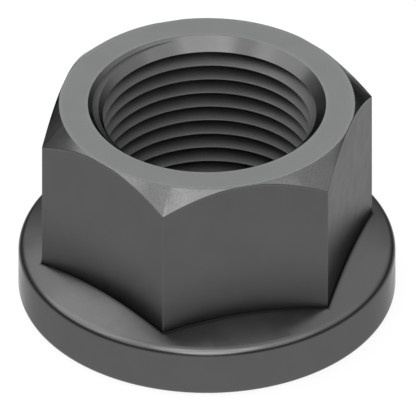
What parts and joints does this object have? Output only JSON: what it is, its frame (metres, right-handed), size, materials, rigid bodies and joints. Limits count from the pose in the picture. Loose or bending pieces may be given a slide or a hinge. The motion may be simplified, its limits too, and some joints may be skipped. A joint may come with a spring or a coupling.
{
  "type": "flange nut",
  "caption": "Tall hexagon nut with a round sloping flange, bevelled crown and a countersunk through hole with a fine left-hand metric thread.",
  "frame": {"origin": "centre of the flange's flat bearing face, on the thread's axis", "axes": "+Z along the thread from the bearing face to the top face; two corners of the hexagon lie on X and two spanner flats face +Y and -Y"},
  "size_m": [0.034, 0.034, 0.0204],
  "materials": {
    "blackened_steel": "satin"
  },
  "bodies": {
    "root": {"flange_nut": "blackened_steel"}
  },
  "joints": []
}
